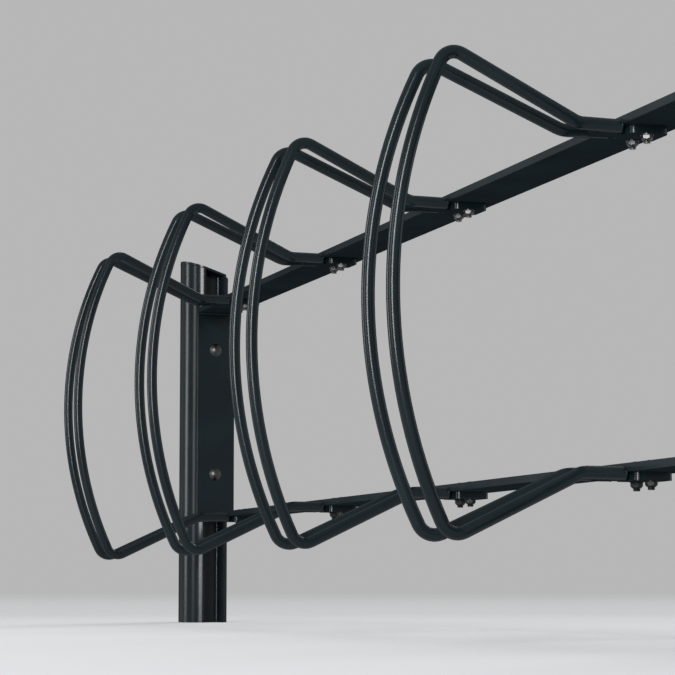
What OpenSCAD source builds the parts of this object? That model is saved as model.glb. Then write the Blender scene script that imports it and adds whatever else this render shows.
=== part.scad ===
// Bicycle rack for street use: four round-bar wheel hoops on two flat rails between two posts.
// X runs along the rails, the hoops stand out towards -Y, and Z is up.
// The origin is on the ground, midway between the axes of the two posts.

/* [Hoops] */
// Distance from one hoop to the next along the rails
hoop_pitch = 615; // [450:5:800]
// Diameter of the round bar
rod_d = 16; // [12:1:20]
// Height of the hoops' middle above the ground
hoop_mid_z = 402.5; // [350:2.5:420]
// How far the bow's axis stands out from the rails' front edge
hoop_reach = 292; // [260:1:340]
// Radius of the front bow, at the bar's axis
bow_r = 615; // [500:5:800]
// Radius of the bend between bow and slope, at the bar's axis
crown_bend_r = 21; // [20:1:40]
// Radius of the bend between slope and level end, at the bar's axis
foot_bend_r = 32; // [22:1:60]
// Length of the level end, up to the corner that the foot bend rounds
level_len = 56; // [50:1:80]
// Angle of the slope above the level
slope_deg = 25; // [20:0.5:30]
// Height of a level end above the hoop's middle
end_rise = 204; // [180:1:220]
// Distance of a bar's axis from the hoop's middle plane, at the rail
root_half_gap = 20; // [18:0.5:24]
// Angle by which each bar opens away from the middle plane
flare_deg = 5.2; // [3:0.1:7]

/* [Rails] */
// Width of the flat bar, front to back
rail_w = 75; // [66:1:90]
// Thickness of the flat bar
rail_t = 10; // [6:1:12]
// Distance from an outer hoop to the inner face of the end plate beside it
rail_overhang = 226; // [150:1:320]
// Thickness of the end plates
end_plate_t = 10; // [6:1:12]
// Radius of the flat bar's long edges
bar_edge_r = 1; // [0.5:0.1:2]

/* [Lugs] */
// Thickness of the lug plates, whose undersides are level with the bars'
lug_t = 10; // [6:1:12]
// Width of a lug under the rail
lug_w = 58; // [56:1:72]
// Distance from the rail's front edge back to the lug's wide part
lug_front = 8; // [4:0.5:10]
// Distance from the rail's front edge back to the lug's rear edge
lug_rear = 59; // [50:1:62]
// Radius of the lug's four corners
lug_corner_r = 10; // [5:1:12]
// Radius of the inner corners beside the tongue
lug_throat_r = 3; // [2:0.5:3.5]
// How far the tongue reaches out between the bars
tongue_len = 28; // [15:1:34]

/* [Lug fasteners] */
// Thread diameter of the lug bolts
lug_bolt_d = 8; // [6:1:8]
// Distance between the two bolts of a lug
lug_bolt_gap = 42; // [36:0.5:44]
// Distance of the bolts from the rail's front edge
lug_bolt_y = 33; // [30:0.5:38]
// Length of thread that shows below a lug's nut
stub_len = 3; // [1:0.5:6]

/* [Posts] */
// Outer diameter of a post
post_d = 95; // [92:1:105]
// Wall thickness of a post and of its channel
post_wall = 4; // [3:0.5:4.5]
// Distance of a post's axis behind the rails' front edge
post_y = 27; // [25:1:32]
// Height of a post's front above the ground
post_top = 716; // [690:1:800]
// Angle of the cut across a post's top, down towards the back
cap_deg = 19.5; // [5:0.5:22]
// Thickness of the plate that closes a post
cap_t = 4; // [3:0.5:6]
// Length of post below the ground
root_len = 300; // [280:10:500]
// Inner width of the channel that faces the rails
channel_w = 37; // [32:1:39]
// Depth of the channel, from the end plate to the channel's floor
channel_depth = 36; // [30:1:36]
// Radius of the corners between the channel's floor and its sides
channel_corner_r = 6; // [2:0.5:8]
// How far the channel's lips stand out past the round of the post
lip_proud = 0.5; // [0.5:0.5:4]
// Diameter of the cross hole for a reinforcing bar in the footing
bar_hole_d = 14; // [10:1:14]
// Height of the cross hole above the post's lower end
bar_hole_rise = 50; // [20:5:120]

/* [Post fasteners] */
// Thread diameter of the post bolts
post_bolt_d = 10; // [8:1:12]
// Distance between the two bolts of an end plate
post_bolt_gap = 245; // [180:1:300]
// How far the middle between those bolts lies above the end plate's middle
post_bolt_rise = 3; // [-8:0.5:8]

/* [Hidden] */

// Colours
paint = [0.12, 0.15, 0.16];
steel = [0.72, 0.74, 0.76];

// Facets of a full circle
round_fn = 48;
bow_fn = 240;
hex_fn = 6;

// Fits: a welded seat, a bolt in its hole, a bolt in its nut, and the overrun of every cut
weld_gap = 0.3;
hole_gap = 0.5;
thread_gap = 0.1;
cut = 1;
// A bar draws in this much where it is bent, and what is straighter laps this far into a bend
bend_draw = 0.2;
bend_lap = 0.3;

// Proportions of cup-head bolts, washers and nuts, as shares of the thread diameter
head_d_share = 2.5;
head_h_share = 0.55;
neck_h_share = 0.5;
washer_d_share = 2;
washer_t_share = 0.2;
nut_af_share = 1.625;
nut_h_share = 0.8;
weld_nut_share = 0.9;
bolt_end_share = 0.3;
// A lock nut's outline from its seat down: radius over the thread diameter, then height over the nut's
lock_nut_shares = [[0, 0], [0.86, 0], [0.94, 0.08], [0.94, 0.42], [0.88, 0.62],
    [0.76, 0.81], [0.6, 0.97], [0.56, 1], [0, 1]];

// Heights of the parts, from the ground
hoop_count = 4;
top_lug_z = hoop_mid_z + end_rise - rod_d / 2;
bottom_lug_z = hoop_mid_z - end_rise - rod_d / 2;
plate_low = bottom_lug_z + lug_t + rail_t;
plate_high = top_lug_z + lug_t;
plate_mid = (plate_low + plate_high) / 2;

// Places along X and Y
rail_front = -post_y;
rail_mid_y = rail_front + rail_w / 2;
hoop_span = hoop_pitch * (hoop_count - 1);
plate_x = hoop_span / 2 + rail_overhang;
rail_half = plate_x + end_plate_t;
mouth_x = post_d / 2 + lip_proud;
post_x = rail_half + mouth_x;
floor_x = mouth_x - channel_depth;

// The bent bar's path in its own plane: first number forward from the rail, second number up
level_end = [level_len, end_rise];
slope_way = [cos(slope_deg), sin(slope_deg)];
slope_side = [sin(slope_deg), -cos(slope_deg)];
foot_tangent = foot_bend_r * tan(slope_deg / 2);
bow_centre = [hoop_reach - bow_r, 0];
// The crown bend touches the slope's line and, from inside, the bow's circle
crown_start = level_end + slope_side * crown_bend_r - bow_centre;
crown_along = crown_start * slope_way;
crown_left = crown_start * crown_start - pow(bow_r - crown_bend_r, 2);
slope_run = sqrt(crown_along * crown_along - crown_left) - crown_along;
crown_centre = level_end + slope_side * crown_bend_r + slope_way * slope_run;
crown_deg = atan2(crown_centre[1] - bow_centre[1], crown_centre[0] - bow_centre[0]);

// Place of hoop n, counted from the left
function hoop_x(n) = (n - 1) * hoop_pitch - hoop_span / 2;

// A bar of diameter d bent to radius r through angle deg, starting at angle from around point c
module bend(c, r, from, deg, d) {
    translate([c[0], c[1], 0])
        rotate([0, 0, from])
            rotate_extrude(angle = deg, $fn = bow_fn)
                translate([r, 0])
                    circle(d = d, $fn = round_fn);
}

// A straight piece of bar from point p, at angle deg above the level
module run(p, deg, length) {
    translate([p[0], p[1], 0])
        rotate([0, 0, deg])
            rotate([0, 90, 0])
                translate([0, 0, -bend_lap])
                    cylinder(d = rod_d, h = length + 2 * bend_lap, $fn = round_fn);
}

// Level end, foot bend, slope and crown bend above the hoop's middle
module half_bar() {
    bent_d = rod_d - bend_draw;
    run([-rod_d, end_rise], 0, level_len - foot_tangent + rod_d);
    bend([level_len - foot_tangent, end_rise + foot_bend_r], foot_bend_r, -90, slope_deg, bent_d);
    run(level_end + slope_way * foot_tangent, slope_deg, slope_run - foot_tangent);
    bend(crown_centre, crown_bend_r, crown_deg, 90 + slope_deg - crown_deg, bent_d);
}

// The whole bar in its own plane: first number forward from the rail, second number up
module bar() {
    half_deg = crown_deg + atan(bend_lap / bow_r);
    bend(bow_centre, bow_r, -half_deg, 2 * half_deg, rod_d);
    half_bar();
    mirror([0, 1, 0])
        half_bar();
}

// One bent bar of a hoop; side is -1 for the left bar and 1 for the right one
module rod(n, side) {
    color(paint)
        translate([hoop_x(n), rail_front, hoop_mid_z])
            difference() {
                translate([side * root_half_gap, 0, 0])
                    rotate([0, 0, side * flare_deg])
                        rotate([0, 0, -90])
                            rotate([90, 0, 0])
                                bar();
                translate([-lug_w, 0, -2 * end_rise])
                    cube([2 * lug_w, 2 * rod_d, 4 * end_rise]);
            }
}

// Outline of a plate with four rounded corners, centred
module rounded_outline(w, l, r, facets) {
    square([w, l - 2 * r], center = true);
    square([w - 2 * r, l], center = true);
    for (x = [-1, 1])
        for (y = [-1, 1])
            translate([x * (w / 2 - r), y * (l / 2 - r)])
                circle(r = r, $fn = facets);
}

// Outline of a lug: a wide plate under the rail and a tongue that fills the room between the bars
module lug_outline() {
    neck = root_half_gap - (rod_d / 2 + weld_gap) / cos(flare_deg);
    tip = neck + tongue_len * tan(flare_deg);
    translate([0, (lug_front + lug_rear) / 2])
        rounded_outline(lug_w, lug_rear - lug_front, lug_corner_r, round_fn);
    polygon([[-neck, 0], [-tip, -tongue_len], [tip, -tongue_len], [neck, 0],
        [neck, lug_front + lug_corner_r], [-neck, lug_front + lug_corner_r]]);
    for (side = [-1, 1])
        scale([side, 1])
            difference() {
                translate([neck - cut, lug_front - lug_throat_r])
                    square([lug_throat_r + cut, lug_throat_r + cut]);
                translate([neck + lug_throat_r, lug_front - lug_throat_r])
                    circle(r = lug_throat_r, $fn = round_fn);
            }
}

// A lug with its underside at z, welded between the bars and bolted up against the rail
module lug(n, z) {
    color(paint)
        translate([hoop_x(n), rail_front, z])
            difference() {
                linear_extrude(height = lug_t)
                    lug_outline();
                for (side = [-1, 1])
                    translate([side * lug_bolt_gap / 2, lug_bolt_y, -cut])
                        cylinder(d = lug_bolt_d + 2 * hole_gap, h = lug_t + 2 * cut, $fn = round_fn);
            }
}

// Repeats its child at the four lug bolts of hoop n, on the lug's underside
module at_lug_bolts(n) {
    for (z = [top_lug_z, bottom_lug_z])
        for (side = [-1, 1])
            translate([hoop_x(n) + side * lug_bolt_gap / 2, rail_front + lug_bolt_y, z])
                children();
}

// Cup-head bolt along Z: the head's seat is at zero and the shank runs down
module cup_bolt(d, length) {
    head_r = d * head_d_share / 2;
    head_h = d * head_h_share;
    dome_r = (head_r * head_r + head_h * head_h) / (2 * head_h);
    rotate_extrude($fn = round_fn)
        intersection() {
            translate([0, head_h - dome_r])
                circle(r = dome_r, $fn = 2 * bow_fn);
            square([head_r, head_h]);
        }
    translate([-d / 2, -d / 2, -d * neck_h_share])
        cube([d, d, d * neck_h_share]);
    translate([0, 0, -length])
        cylinder(d = d, h = length, $fn = round_fn);
}

module lug_bolts(n) {
    grip = rail_t + lug_t;
    length = grip + lug_bolt_d * (washer_t_share + nut_h_share) + stub_len;
    color(steel)
        at_lug_bolts(n)
            translate([0, 0, grip])
                cup_bolt(lug_bolt_d, length);
}

module lug_washers(n) {
    t = lug_bolt_d * washer_t_share;
    color(steel)
        at_lug_bolts(n)
            translate([0, 0, -t])
                difference() {
                    cylinder(d = lug_bolt_d * washer_d_share, h = t, $fn = round_fn);
                    translate([0, 0, -cut])
                        cylinder(d = lug_bolt_d + hole_gap, h = t + 2 * cut, $fn = round_fn);
                }
}

// Lock nuts: a chamfered hexagon on the washer, narrowing to the round collar that grips the thread
module lug_nuts(n) {
    nut_h = lug_bolt_d * nut_h_share;
    corners = lug_bolt_d * nut_af_share / cos(180 / hex_fn);
    color(steel)
        at_lug_bolts(n)
            translate([0, 0, -lug_bolt_d * washer_t_share])
                mirror([0, 0, 1])
                    difference() {
                        intersection() {
                            cylinder(d = corners, h = nut_h, $fn = hex_fn);
                            rotate_extrude($fn = round_fn)
                                polygon([for (p = lock_nut_shares) [p[0] * lug_bolt_d, p[1] * nut_h]]);
                        }
                        translate([0, 0, -cut])
                            cylinder(d = lug_bolt_d + 2 * thread_gap, h = nut_h + 2 * cut, $fn = round_fn);
                    }
}

// A rail lies on the lugs whose undersides are at z, and has square holes for the bolts' necks
module rail(z) {
    hole = lug_bolt_d + 2 * hole_gap;
    color(paint)
        difference() {
            translate([-rail_half, rail_mid_y, z + lug_t + rail_t / 2])
                rotate([90, 0, 90])
                    linear_extrude(height = 2 * rail_half)
                        rounded_outline(rail_w, rail_t, bar_edge_r, round_fn);
            for (n = [1 : hoop_count])
                for (side = [-1, 1])
                    translate([hoop_x(n) + side * lug_bolt_gap / 2 - hole / 2,
                        rail_front + lug_bolt_y - hole / 2, z + lug_t - cut])
                        cube([hole, hole, rail_t + 2 * cut]);
        }
}

// Repeats its child at the two post bolts of one side, on the post's own X axis
module at_post_bolts() {
    for (way = [-1, 1])
        translate([0, rail_mid_y, plate_mid + post_bolt_rise + way * post_bolt_gap / 2])
            children();
}

// An end plate stands between the rails and closes the frame; side is -1 for left, 1 for right
module end_plate(side) {
    color(paint)
        difference() {
            translate([side * (plate_x + end_plate_t / 2), rail_mid_y, plate_low])
                linear_extrude(height = plate_high - plate_low)
                    rounded_outline(end_plate_t, rail_w, bar_edge_r, round_fn);
            at_post_bolts()
                translate([side * (plate_x + end_plate_t / 2), 0, 0])
                    rotate([0, 90, 0])
                        cylinder(d = post_bolt_d + 2 * hole_gap, h = end_plate_t + 2 * cut,
                            center = true, $fn = round_fn);
        }
}

// The channel's room grown by grow, seen from above, reaching past the mouth by past
module channel_outline(grow, past) {
    half = channel_w / 2 + grow;
    r = channel_corner_r + grow;
    translate([floor_x - grow, rail_mid_y - half + r])
        square([channel_depth + grow + past, 2 * (half - r)]);
    translate([floor_x - grow + r, rail_mid_y - half])
        square([channel_depth + grow + past - r, 2 * half]);
    for (way = [-1, 1])
        translate([floor_x - grow + r, rail_mid_y + way * (half - r)])
            circle(r = r, $fn = round_fn);
}

// The post seen from above: a round tube with a channel let into the side that faces +X
module post_section() {
    difference() {
        union() {
            circle(d = post_d, $fn = bow_fn);
            channel_outline(post_wall, 0);
        }
        difference() {
            circle(d = post_d - 2 * post_wall, $fn = bow_fn);
            channel_outline(post_wall, 0);
        }
        channel_outline(0, cut);
    }
}

// Everything above the slanted cut, lowered by drop
module above_cut(drop) {
    translate([0, -post_d / 2, post_top])
        rotate([-cap_deg, 0, 0])
            translate([-post_d, -post_d, -drop])
                cube([2 * post_d, 3 * post_d, post_d]);
}

// Puts its child, made for the left post, at either post
module at_post(side) {
    translate([side * post_x, 0, 0])
        scale([-side, 1, 1])
            children();
}

module post(side) {
    color(paint)
        at_post(side)
            difference() {
                translate([0, 0, -root_len])
                    linear_extrude(height = post_top + root_len)
                        post_section();
                above_cut(cap_t);
                at_post_bolts()
                    translate([floor_x - post_wall - cut, 0, 0])
                        rotate([0, 90, 0])
                            cylinder(d = post_bolt_d + 2 * hole_gap, h = post_wall + 2 * cut, $fn = round_fn);
                translate([0, 0, bar_hole_rise - root_len])
                    rotate([90, 0, 0])
                        cylinder(d = bar_hole_d, h = post_d + 2 * cut, center = true, $fn = round_fn);
            }
}

// The plate that closes the slanted top
module post_cap(side) {
    color(paint)
        at_post(side)
            difference() {
                intersection() {
                    translate([0, 0, post_top - post_d])
                        linear_extrude(height = 2 * post_d)
                            union() {
                                circle(d = post_d, $fn = bow_fn);
                                channel_outline(post_wall, 0);
                            }
                    above_cut(cap_t);
                }
                above_cut(0);
            }
}

// Bolts through the end plate and the channel's floor
module post_bolts(side) {
    length = end_plate_t + channel_depth + post_wall + post_bolt_d * (weld_nut_share + bolt_end_share);
    color(steel)
        at_post(side)
            at_post_bolts()
                translate([mouth_x + end_plate_t, 0, 0])
                    rotate([0, 90, 0])
                        cup_bolt(post_bolt_d, length);
}

// Nuts welded behind the channel's floor, inside the post
module weld_nuts(side) {
    nut_h = post_bolt_d * weld_nut_share;
    corners = post_bolt_d * nut_af_share / cos(180 / hex_fn);
    color(steel)
        at_post(side)
            at_post_bolts()
                translate([floor_x - post_wall - nut_h, 0, 0])
                    rotate([0, 90, 0])
                        difference() {
                            cylinder(d = corners, h = nut_h, $fn = hex_fn);
                            translate([0, 0, -cut])
                                cylinder(d = post_bolt_d + 2 * thread_gap, h = nut_h + 2 * cut, $fn = round_fn);
                        }
}

rail(top_lug_z);  // upper_rail
rail(bottom_lug_z);  // lower_rail
end_plate(-1);  // left_end_plate
end_plate(1);  // right_end_plate
post(-1);  // left_post
post(1);  // right_post
post_cap(-1);  // left_post_cap
post_cap(1);  // right_post_cap
post_bolts(-1);  // left_post_bolts
post_bolts(1);  // right_post_bolts
weld_nuts(-1);  // left_weld_nuts
weld_nuts(1);  // right_weld_nuts
for (n = [1 : hoop_count]) {
    rod(n, -1);
    rod(n, 1);
    lug(n, top_lug_z);
    lug(n, bottom_lug_z);
    lug_bolts(n);
    lug_washers(n);
    lug_nuts(n);
}
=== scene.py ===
"""The looks of a street bicycle rack: bent round-bar hoops bolted under flat rails between two posts.

Everything is in metres, in the rack's own frame: X along the rails, the hoops stand out towards -Y, Z up.
"""
import math

import bpy
import numpy as np
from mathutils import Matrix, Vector


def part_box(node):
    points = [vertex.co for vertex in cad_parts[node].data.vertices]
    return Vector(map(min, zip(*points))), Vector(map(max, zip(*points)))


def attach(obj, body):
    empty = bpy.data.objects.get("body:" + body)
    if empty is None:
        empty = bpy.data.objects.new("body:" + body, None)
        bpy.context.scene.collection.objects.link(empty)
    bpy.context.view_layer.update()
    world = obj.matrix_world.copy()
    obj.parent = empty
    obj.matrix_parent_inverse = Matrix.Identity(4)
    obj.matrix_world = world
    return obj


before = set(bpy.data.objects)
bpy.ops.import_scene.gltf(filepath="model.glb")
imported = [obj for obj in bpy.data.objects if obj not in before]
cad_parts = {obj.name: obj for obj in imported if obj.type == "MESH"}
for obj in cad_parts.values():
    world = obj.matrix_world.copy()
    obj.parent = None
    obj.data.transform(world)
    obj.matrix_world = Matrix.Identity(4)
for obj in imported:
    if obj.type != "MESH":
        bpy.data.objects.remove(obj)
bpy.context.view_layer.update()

MM = 0.001
HOOPS = (1, 2, 3, 4)
SIDES = ("left", "right")
LEVELS = ("top", "bottom")


# Shader maths
class Wire:
    """A node socket that can be used in Python expressions."""

    def __init__(self, shop, socket):
        self.shop = shop
        self.socket = socket

    def _math(self, operation, a, b):
        return self.shop.node("ShaderNodeMath", {"operation": operation}, {0: a, 1: b})

    def __add__(self, other):
        return self._math("ADD", self, other)

    def __radd__(self, other):
        return self._math("ADD", other, self)

    def __sub__(self, other):
        return self._math("SUBTRACT", self, other)

    def __rsub__(self, other):
        return self._math("SUBTRACT", other, self)

    def __mul__(self, other):
        return self._math("MULTIPLY", self, other)

    def __rmul__(self, other):
        return self._math("MULTIPLY", other, self)

    def __truediv__(self, other):
        return self._math("DIVIDE", self, other)

    def __rtruediv__(self, other):
        return self._math("DIVIDE", other, self)

    def max(self, other):
        return self._math("MAXIMUM", self, other)

    def clamp(self):
        return self._math("MINIMUM", self.max(0.0), 1.0)

    def step(self, low, high):
        """Smoothly 0 below low and 1 above high."""
        return self.shop.node("ShaderNodeMapRange", {"interpolation_type": "SMOOTHSTEP"},
                              {"Value": self, "From Min": low, "From Max": high})


class Shop:
    """Makes nodes in one tree."""

    def __init__(self, tree):
        self.tree = tree
        tree.nodes.clear()

    def node(self, kind, settings=None, values=None, out=0):
        """Adds a node: its settings first, then the values or links of its sockets. Returns one output."""
        made = self.tree.nodes.new(kind)
        for name, value in (settings or {}).items():
            setattr(made, name, value)
        for name, value in (values or {}).items():
            socket = made.inputs[name]
            if isinstance(value, Wire):
                self.tree.links.new(value.socket, socket)
            else:
                socket.default_value = value
        return Wire(self, made.outputs[out])

    def end(self, kind, surface):
        """Adds the output node that closes the tree."""
        last = self.tree.nodes.new(kind)
        self.tree.links.new(surface.socket, last.inputs["Surface"])

    def spot(self):
        """Place on the object, in metres."""
        return self.node("ShaderNodeTexCoord", out="Object")

    def coordinate(self, at, axis):
        """One number of a place: axis 0 is X, 1 is Y and 2 is Z."""
        return self.node("ShaderNodeSeparateXYZ", {}, {"Vector": at}, out=axis)

    def noise(self, at, scale, detail=2.0, rough=0.5):
        """Noise from 0 to 1, with about this scale's number of cells to a metre."""
        return self.node("ShaderNodeTexNoise", {},
                         {"Vector": at, "Scale": scale, "Detail": detail, "Roughness": rough})

    def mix(self, amount, a, b):
        """Colour a turning into colour b."""
        return self.node("ShaderNodeMix", {"data_type": "RGBA"}, {"Factor": amount, 6: a, 7: b}, out=2)

    def bump(self, height, strength, depth):
        """Small relief, for a shader's Normal: height from 0 to 1 stands for a depth in metres."""
        return self.node("ShaderNodeBump", {}, {"Height": height, "Strength": strength, "Distance": depth})


def rgb(r, g, b):
    """Colour written in display values from 0 to 255."""
    def linear(shown):
        share = shown / 255
        return share / 12.92 if share <= 0.04045 else ((share + 0.055) / 1.055) ** 2.4
    return (linear(r), linear(g), linear(b), 1.0)


def material(name, build):
    """A material whose surface is what build(shop) returns."""
    made = bpy.data.materials.new(name)
    made.use_nodes = True
    shop = Shop(made.node_tree)
    shop.end("ShaderNodeOutputMaterial", build(shop))
    return made


# Finishes
GLOSS_DARK = rgb(13, 22, 26)
GLOSS_PALE = rgb(18, 28, 32)
# The flat colours the paint takes at a glance: a painted sheen, paler than the gloss colours
PAINTED_SHEEN_DARK = rgb(28, 35, 39)
PAINTED_SHEEN_PALE = rgb(33, 41, 45)
STEEL_DULL = rgb(60, 62, 63)
STEEL_BRIGHT = rgb(90, 90, 89)
# Painted shade: the darker colour of the lower nuts
LOW_NUT_SHADE = rgb(36, 37, 37)

# From 0, where a surface faces the eye, to 1 at its edge: the gloss gives way to the flat painted sheen
# between these
GLOSSY_TO, FLAT_FROM = 0.45, 0.78

# Heights between which the painted shade on the lower nuts gives way to the plain steel
SHADED_BELOW, UNSHADED_ABOVE = 0.2, 0.25


def paint_surface(shop):
    """Gloss anthracite powder coat: a fine orange peel, faint cloudiness and a little dust in it.

    At a flat glance the gloss gives way to a flat, paler colour there: a painted sheen that stands in for
    the reflection of the surroundings.
    """
    at = shop.spot()
    cloud = shop.noise(at, scale=9.0, detail=3.0)
    peel = shop.noise(at, scale=700.0, detail=2.0, rough=0.6)
    dust = shop.noise(at, scale=2600.0, detail=1.0)
    cloudy = cloud.step(0.35, 0.7)
    bump = shop.bump(peel, strength=0.1, depth=0.2 * MM)
    rough = 0.14 + 0.06 * cloud + 0.03 * dust
    gloss_colour = shop.mix(cloudy, GLOSS_DARK, GLOSS_PALE)
    # Painted sheen: the flat shader's paler colour stands in for the surroundings' reflection at a glance
    painted_sheen_colour = shop.mix(cloudy, PAINTED_SHEEN_DARK, PAINTED_SHEEN_PALE)
    glossy = shop.node("ShaderNodeBsdfPrincipled", {}, {
        "Base Color": gloss_colour, "Roughness": rough, "Specular IOR Level": 0.2, "Normal": bump})
    flat = shop.node("ShaderNodeBsdfPrincipled", {}, {
        "Base Color": painted_sheen_colour, "Roughness": 0.6, "Specular IOR Level": 0.0, "Normal": bump})
    glance = shop.node("ShaderNodeLayerWeight", {}, {"Blend": 0.5}, out="Facing")
    return shop.node("ShaderNodeMixShader", {}, {0: glance.step(GLOSSY_TO, FLAT_FROM), 1: glossy, 2: flat})


def steel_surface(shop):
    """Stainless steel: fine scratches and duller patches, and painted shade that darkens and roughens the
    lower nuts.
    """
    at = shop.spot()
    patch = shop.noise(at, scale=260.0, detail=3.0)
    scratch = shop.noise(at, scale=2200.0, detail=2.0)
    height = shop.coordinate(at, 2)
    # Painted shade: below these heights the steel turns darker, standing in for the shade the lower nuts lie
    # in
    low_shade = (1.0 - height.step(SHADED_BELOW, UNSHADED_ABOVE)) * (0.8 + 0.2 * patch)
    unshaded = shop.mix(patch, STEEL_DULL, STEEL_BRIGHT)
    colour = shop.mix(low_shade, unshaded, LOW_NUT_SHADE)
    rough = 0.28 + 0.14 * patch + 0.12 * low_shade
    bump = shop.bump(scratch, strength=0.15, depth=0.1 * MM)
    return shop.node("ShaderNodeBsdfPrincipled", {}, {
        "Base Color": colour, "Roughness": rough, "Metallic": 1.0, "Normal": bump})


PAINT = material("anthracite_powder_coat", paint_surface)
STEEL = material("stainless_steel", steel_surface)

for name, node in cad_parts.items():
    bright = name.endswith(("_bolts", "_washers", "_nuts")) and "weld" not in name
    node.data.materials.clear()
    node.data.materials.append(STEEL if bright else PAINT)


# Sizes that the frame gives
LUG_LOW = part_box("hoop_1_bottom_lug")[0]
NUTS_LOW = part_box("hoop_1_nuts")[0]
BOLTS_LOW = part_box("hoop_1_bolts")[0]
WASHERS_LOW, WASHERS_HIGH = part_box("hoop_1_washers")
RAIL_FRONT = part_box("upper_rail")[0].y
TONGUE = RAIL_FRONT - LUG_LOW.y
NUT_STACK = LUG_LOW.z - NUTS_LOW.z
STUB = NUTS_LOW.z - BOLTS_LOW.z
BOLT_Y = (WASHERS_LOW.y + WASHERS_HIGH.y) / 2

# Sizes of the solids that the boxes don't show
BAR_R = 8.0 * MM
ROOT_HALF_GAP = 20.0 * MM
FLARE = math.tan(math.radians(5.2))
BOLT_R = 4.0 * MM
BOLT_HALF_GAP = 21.0 * MM
CAP_T = 4.0 * MM
CAP_TILT = math.radians(19.5)

# A lug's welds: inward of the bar's axis, above the lug's underside, and the bead's radius
GROOVE_WELD = (6.6 * MM, 1.9 * MM, 1.8 * MM)
CORNER_WELD = (8.4 * MM, 11.2 * MM, 1.7 * MM)
LUG_WELD_STARTS = 0.6 * MM
LUG_WELD_STOPS_SHORT = 0.8 * MM

# The frame's corner welds: out of the corner both ways, and in from the edges
CORNER_OUT = 1.3 * MM
CORNER_IN_FROM_EDGE = 3.0 * MM

# A cap's weld: degrees round the post, and how far its middle lies inside the post's round
CAP_WELD_FROM, CAP_WELD_TO = 48, 343
CAP_WELD_SUNK = 0.3 * MM
CAP_WELD_STEPS = 700

# The rim round a bar's end: its tube's radius, and where the tube's middle lies
RIM_R = 0.5 * MM
RIM_SUNK = 0.05 * MM
RIM_OUT = 0.8 * MM
RIM_STEPS = 64
RIM_TUBE_STEPS = 12

# A bolt's thread, which starts a little inside the nut, and the stub's tip beyond it
THREAD_PITCH = 1.25 * MM
THREAD_HALF_DEPTH = 0.1 * MM
THREAD_CLEAR = 0.02 * MM
THREAD_STARTS_ABOVE = 0.6 * MM
THREAD_STOPS_SHORT = 0.5 * MM
THREAD_RINGS = 34
THREAD_STEPS = 40
TIP_OUT = 0.05 * MM
TIP_SHARE = 0.8

# Edges of the new pieces that are sharper than this aren't smoothed
CREASE = math.radians(50)


# Surfaces
def closed_tube(rings):
    """Points and faces of a tube given as rings[row, column].

    Each ring joins the next, and a point in the middle of the first and last ring closes each end.
    """
    rows, columns = rings.shape[:2]
    points = np.concatenate([rings.reshape(-1, 3), rings[:1].mean(1), rings[-1:].mean(1)])
    row, column = np.meshgrid(np.arange(rows - 1), np.arange(columns), indexing="ij")
    here = row * columns + column
    beside = row * columns + (column + 1) % columns
    walls = np.stack([here, beside, beside + columns, here + columns], -1).reshape(-1, 4)
    rim = np.arange(columns)
    turned = (rim + 1) % columns
    last = (rows - 1) * columns
    start_end = np.stack([turned, rim, np.full(columns, rows * columns)], -1)
    stop_end = np.stack([rim + last, turned + last, np.full(columns, rows * columns + 1)], -1)
    return points, walls, np.concatenate([start_end, stop_end])


def walls_volume(points, walls):
    """Six times the volume between a tube's walls and its middle: positive where they face outwards."""
    a, b, c, d = (points[walls[:, corner]] - points.mean(0) for corner in range(4))
    return (np.cross(a, b) * c).sum() + (np.cross(a, c) * d).sum()


def piece(name, tubes, finish):
    """One painted or steel piece out of closed tubes, with every face turned outwards."""
    points, faces, start = [], [], 0
    for rings in tubes:
        spots, walls, ends = closed_tube(rings)
        if walls_volume(spots, walls) < 0:
            walls, ends = walls[:, ::-1], ends[:, ::-1]
        points.append(spots)
        faces += (walls + start).tolist() + (ends + start).tolist()
        start += len(spots)
    mesh = bpy.data.meshes.new(name)
    mesh.from_pydata(np.concatenate(points).tolist(), [], faces)
    mesh.polygons.foreach_set("use_smooth", np.ones(len(mesh.polygons), bool))
    mesh.set_sharp_from_angle(angle=CREASE)
    mesh.materials.append(finish)
    made = bpy.data.objects.new(name, mesh)
    bpy.context.scene.collection.objects.link(made)
    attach(made, "root")


def bead(path, radius, ripple=0.08, pitch=1.7 * MM, sides=10):
    """A weld bead: a circle carried along a path.

    Its radius is the bead's times (1 + ripple * sine of the way along), and falls to nothing on a half round
    at each end.
    """
    along = np.gradient(path, axis=0)
    along /= np.linalg.norm(along, axis=1, keepdims=True)
    hint = np.where(np.abs(along[:, 2:3]) > 0.9, (1.0, 0.0, 0.0), (0.0, 0.0, 1.0))
    across = np.cross(along, hint)
    across /= np.linalg.norm(across, axis=1, keepdims=True)
    up = np.cross(across, along)
    way = np.concatenate([[0.0], np.cumsum(np.linalg.norm(np.diff(path, axis=0), axis=1))])
    into_end = np.clip((radius - np.minimum(way, way[-1] - way)) / radius, 0.0, 0.999)
    swell = 1 + ripple * np.sin(2 * np.pi * way / pitch)
    r = (radius * np.sqrt(1 - into_end ** 2) * swell)[:, None, None]
    turn = np.linspace(0, 2 * np.pi, sides, endpoint=False)[None, :, None]
    return path[:, None] + r * (np.cos(turn) * across[:, None] + np.sin(turn) * up[:, None])


def straight(start, end, step=0.35 * MM):
    """Evenly spaced points from start to end."""
    start, end = np.array(start, float), np.array(end, float)
    count = max(12, int(np.linalg.norm(end - start) / step))
    return start + np.linspace(0, 1, count)[:, None] * (end - start)


def lug_place(n, level):
    """Middle of a lug along X, and the height of its underside."""
    low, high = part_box(f"hoop_{n}_{level}_lug")
    return (low.x + high.x) / 2, low.z


def bar_x(middle, way, out):
    """Where a bar's axis runs, a distance out in front of the rail: the two bars open by the flare."""
    return middle + way * (ROOT_HALF_GAP + out * FLARE)


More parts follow.
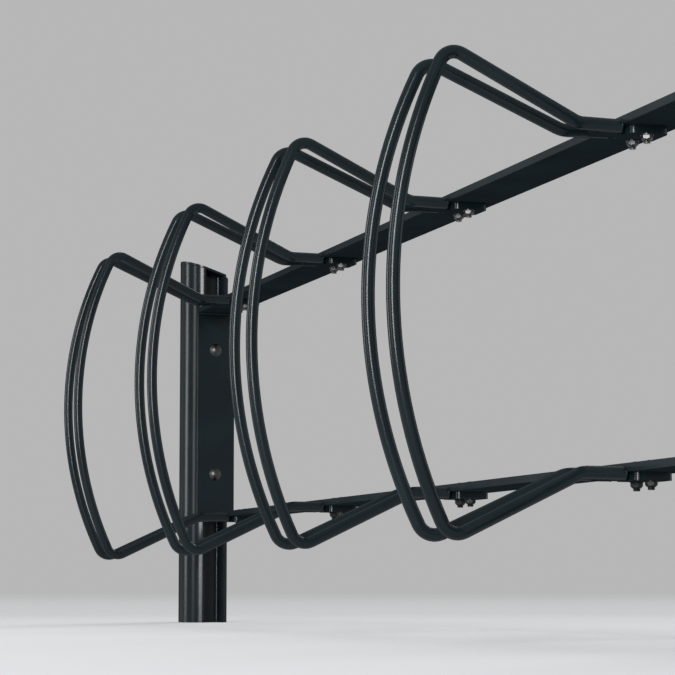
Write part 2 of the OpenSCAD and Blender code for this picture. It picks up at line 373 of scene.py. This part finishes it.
def lug_beads(n, level):
    """Straight beads along a lug's tongue: beside each bar, in the groove below and the corner above."""
    middle, under = lug_place(n, level)
    for way in (-1, 1):
        for inward, rise, radius in (GROOVE_WELD, CORNER_WELD):
            ends = [(bar_x(middle, way, out) - way * inward, RAIL_FRONT - out, under + rise)
                    for out in (LUG_WELD_STARTS, TONGUE - LUG_WELD_STOPS_SHORT)]
            yield bead(straight(*ends), radius)


def bar_end_rims(n):
    """The thick painted rim round each sawn bar end: a small circle turned about the bar's axis."""
    turn = np.linspace(0, 2 * np.pi, RIM_STEPS, endpoint=False)[:, None]
    around = np.linspace(0, 2 * np.pi, RIM_TUBE_STEPS)[None, :]
    r = BAR_R - RIM_SUNK + RIM_R * np.cos(around)
    y = RAIL_FRONT - RIM_OUT - RIM_R * np.sin(around) + 0 * turn
    for level in LEVELS:
        middle, under = lug_place(n, level)
        for way in (-1, 1):
            x = bar_x(middle, way, 0) + r * np.cos(turn)
            z = under + BAR_R + r * np.sin(turn)
            yield np.stack([x, y, z], -1).transpose(1, 0, 2)


def stub_threads(n):
    """Thread on each bolt's stub: a round whose radius follows the cosine of height over pitch, less turn.

    Its last two rings close the stub's end, the second of them smaller.
    """
    turn = np.linspace(0, 2 * np.pi, THREAD_STEPS, endpoint=False)[None, :]
    core = BOLT_R + THREAD_CLEAR
    for level in LEVELS:
        middle, under = lug_place(n, level)
        top = under - NUT_STACK + THREAD_STARTS_ABOVE
        end = under - NUT_STACK - STUB
        cut = np.linspace(top, end + THREAD_STOPS_SHORT, THREAD_RINGS)
        z = np.concatenate([cut, [end, end - TIP_OUT]])[:, None]
        r = core + THREAD_HALF_DEPTH * (1 + np.cos(2 * np.pi * (top - z) / THREAD_PITCH - turn))
        r[-2], r[-1] = core, TIP_SHARE * BOLT_R
        for way in (-1, 1):
            x = middle + way * BOLT_HALF_GAP + r * np.cos(turn)
            y = BOLT_Y + r * np.sin(turn)
            yield np.stack([x, y, z + 0 * turn], -1)


def end_plate_beads(side):
    """Straight beads across the frame's two inner corners at one end, from front to back."""
    low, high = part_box(f"{side}_end_plate")
    x = high.x + CORNER_OUT if side == "left" else low.x - CORNER_OUT
    front, back = low.y + CORNER_IN_FROM_EDGE, high.y - CORNER_IN_FROM_EDGE
    for z in (low.z + CORNER_OUT, high.z - CORNER_OUT):
        path = straight((x, front, z), (x, back, z), step=0.5 * MM)
        yield bead(path, radius=2.5 * MM, ripple=0.06, pitch=2.6 * MM)


def cap_bead(side):
    """The dressed weld under a post's cap, left open round the channel's mouth.

    A circle of the post's radius by turn, whose height falls with Y by the slanted cut's tangent.
    """
    low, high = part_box(f"{side}_post")
    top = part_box(f"{side}_post_cap")[1].z
    radius = (high.y - low.y) / 2
    middle, way = (low.x + radius, 1) if side == "left" else (high.x - radius, -1)
    turn = np.radians(np.linspace(CAP_WELD_FROM, CAP_WELD_TO, CAP_WELD_STEPS))
    x = middle + way * (radius - CAP_WELD_SUNK) * np.cos(turn)
    y = (radius - CAP_WELD_SUNK) * np.sin(turn)
    z = top - (radius * np.sin(turn) + radius) * math.tan(CAP_TILT) - CAP_T / math.cos(CAP_TILT)
    return bead(np.stack([x, y, z], -1), radius=0.8 * MM, ripple=0.05, pitch=2.2 * MM, sides=8)


for n in HOOPS:
    for level in LEVELS:
        piece(f"hoop_{n}_{level}_lug_welds", lug_beads(n, level), PAINT)
    piece(f"hoop_{n}_bar_end_rims", bar_end_rims(n), PAINT)
    piece(f"hoop_{n}_stub_threads", stub_threads(n), STEEL)
for side in SIDES:
    piece(f"{side}_end_plate_welds", end_plate_beads(side), PAINT)
    piece(f"{side}_cap_weld", [cap_bead(side)], PAINT)


# Stage
WHITE = (1, 1, 1, 1)
WALL_GREY = rgb(183, 183, 183)
FLOOR_PALE = rgb(231, 232, 234)
FLOOR_DULL = rgb(212, 214, 216)
FADE_NEAR = rgb(202, 203, 204)
FADE_FAR = rgb(188, 189, 189)
FLOOR_HALF = 60

# Along X the lit floor turns from pale to dull
DULL_FROM, DULL_OVER = 0.2, 1.7

# Distances from the floor's middle: where the lit floor gives way to a fade, and that to the wall's grey
FLOOR_MIDDLE = (1.5, -0.6, 0.0)
LIT_WITHIN, LIT_TO = 1.7, 4.6
FADE_FROM, FADE_OVER = 4.5, 12.0
GREY_FROM, GREY_BEYOND = 13.5, 41.5


def floor_surface(shop):
    """Pale studio floor that keeps the rack's shadow, and fades some metres away into the wall's grey."""
    at = shop.spot()
    along = shop.coordinate(at, 0)
    away = shop.node("ShaderNodeVectorMath", {"operation": "DISTANCE"},
                     {0: at, 1: FLOOR_MIDDLE}, out="Value")
    pale = shop.mix(((along - DULL_FROM) / DULL_OVER).clamp(), FLOOR_PALE, FLOOR_DULL)
    fade = shop.mix(((away - FADE_FROM) / FADE_OVER).clamp(), FADE_NEAR, FADE_FAR)
    grey = shop.mix(away.step(GREY_FROM, GREY_BEYOND), fade, WALL_GREY)
    lit = shop.node("ShaderNodeBsdfDiffuse", {}, {"Color": pale})
    faded = shop.node("ShaderNodeEmission", {}, {"Color": grey})
    return shop.node("ShaderNodeMixShader", {}, {0: away.step(LIT_WITHIN, LIT_TO), 1: lit, 2: faded})


def floor():
    """The studio floor: a square, level with the ground."""
    corners = [(x * FLOOR_HALF, y * FLOOR_HALF, 0) for x, y in ((-1, -1), (1, -1), (1, 1), (-1, 1))]
    mesh = bpy.data.meshes.new("studio_ground")
    mesh.from_pydata(corners, [], [(0, 1, 2, 3)])
    mesh.materials.append(material("studio_floor", floor_surface))
    made = bpy.data.objects.new("studio_ground", mesh)
    bpy.context.scene.collection.objects.link(made)


def sky_surface(shop):
    """Soft white light on everything, and the wall's grey where the camera or a reflection sees the sky."""
    camera_ray = shop.node("ShaderNodeLightPath", out="Is Camera Ray")
    glossy_ray = shop.node("ShaderNodeLightPath", out="Is Glossy Ray")
    through_ray = shop.node("ShaderNodeLightPath", out="Is Transmission Ray")
    soft = shop.node("ShaderNodeBackground", {}, {"Color": WHITE, "Strength": 0.5})
    wall = shop.node("ShaderNodeBackground", {}, {"Color": WALL_GREY, "Strength": 1.0})
    seen = camera_ray.max(glossy_ray).max(through_ray)
    return shop.node("ShaderNodeMixShader", {}, {0: seen, 1: soft, 2: wall})


floor()
world = bpy.data.worlds.new("studio")
bpy.context.scene.world = world
world.use_nodes = True
sky = Shop(world.node_tree)
sky.end("ShaderNodeOutputWorld", sky_surface(sky))


# Lamps
def lamp(name, aim, bearing, rise, distance, width, height, power):
    """A soft rectangle of light that faces its aim.

    Seen from there, it stands at a bearing in degrees from +X towards +Y, and as high as rise times the way
    along the floor.
    """
    data = bpy.data.lights.new(name, "AREA")
    data.shape = "RECTANGLE"
    data.size = width
    data.size_y = height
    data.energy = power
    made = bpy.data.objects.new(name, data)
    bpy.context.scene.collection.objects.link(made)
    turn = math.radians(bearing)
    away = Vector((math.cos(turn), math.sin(turn), rise)).normalized()
    made.location = Vector(aim) + away * distance
    made.rotation_euler = away.to_track_quat("Z", "Y").to_euler()


RACK_MIDDLE = (0, -0.1, 0.4)
LEFT_END = (-1.2, 0, 0.4)

lamp("key_light", RACK_MIDDLE, bearing=-32.75, rise=0.2, distance=7.0, width=0.75, height=3.4, power=310)
lamp("key_edge", RACK_MIDDLE, bearing=-26.75, rise=0.2, distance=7.0, width=0.75, height=3.4, power=120)
lamp("left_fill", RACK_MIDDLE, bearing=-69.0, rise=0.2, distance=7.0, width=1.3, height=3.4, power=82)
lamp("left_light", LEFT_END, bearing=-104.0, rise=0.15, distance=6.0, width=1.4, height=3.6, power=120)
lamp("right_light", RACK_MIDDLE, bearing=88.0, rise=0.2, distance=7.0, width=1.1, height=3.4, power=16)
lamp("back_light", RACK_MIDDLE, bearing=140.0, rise=0.5, distance=7.0, width=2.2, height=3.4, power=150)


# Camera, fitted to the photograph, which is 675 pixels square
PHOTO_SIDE = 675.0
FOCAL_PIXELS = 2490.0
SENSOR = 36.0
EYE = (3.6082, -1.1860, 0.0646)
TURN, TILT = math.radians(16.923), math.radians(5.776)

ahead = Vector((-math.cos(TURN) * math.cos(TILT), math.sin(TURN) * math.cos(TILT), math.sin(TILT)))
lens = bpy.data.cameras.new("eye")
lens.sensor_width = SENSOR
lens.lens = SENSOR * FOCAL_PIXELS / PHOTO_SIDE
lens.clip_end = 200.0
camera = bpy.data.objects.new("eye", lens)
bpy.context.scene.collection.objects.link(camera)
camera.location = EYE
camera.rotation_euler = ahead.to_track_quat("-Z", "Y").to_euler()
bpy.context.scene.camera = camera
bpy.context.scene.view_settings.view_transform = "Standard"
